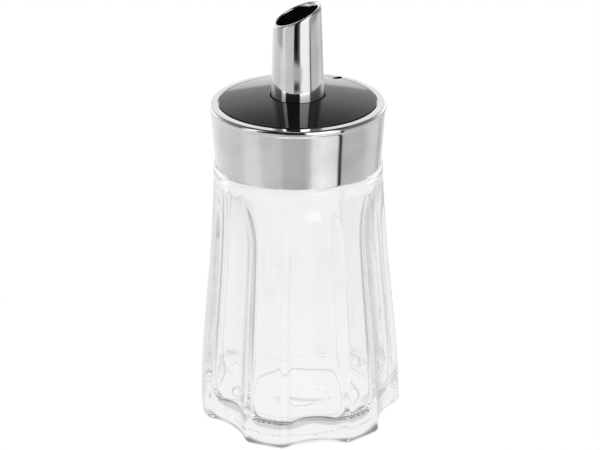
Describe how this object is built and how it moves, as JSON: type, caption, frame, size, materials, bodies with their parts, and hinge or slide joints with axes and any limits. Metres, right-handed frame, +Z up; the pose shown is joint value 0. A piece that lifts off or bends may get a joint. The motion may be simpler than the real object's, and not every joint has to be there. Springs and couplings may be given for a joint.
{
  "type": "sugar shaker",
  "caption": "Tapered clear glass jar with hollow flutes, a chrome cap, a black domed cover disc and a slanted chrome pouring spout.",
  "frame": {"origin": "middle of the base, on the surface that the jar stands on", "axes": "+Z up along the jar's axis; the spout's low lip is towards -X, so it pours towards -X"},
  "size_m": [0.0762, 0.0722, 0.1604],
  "materials": {
    "clear_glass": "clear, smooth, pressed",
    "chrome": "polished",
    "black_gloss": "gloss"
  },
  "bodies": {
    "root": {"jar": "clear_glass", "cap": "chrome", "cover_disc": "black_gloss", "spout": "chrome"}
  },
  "joints": []
}
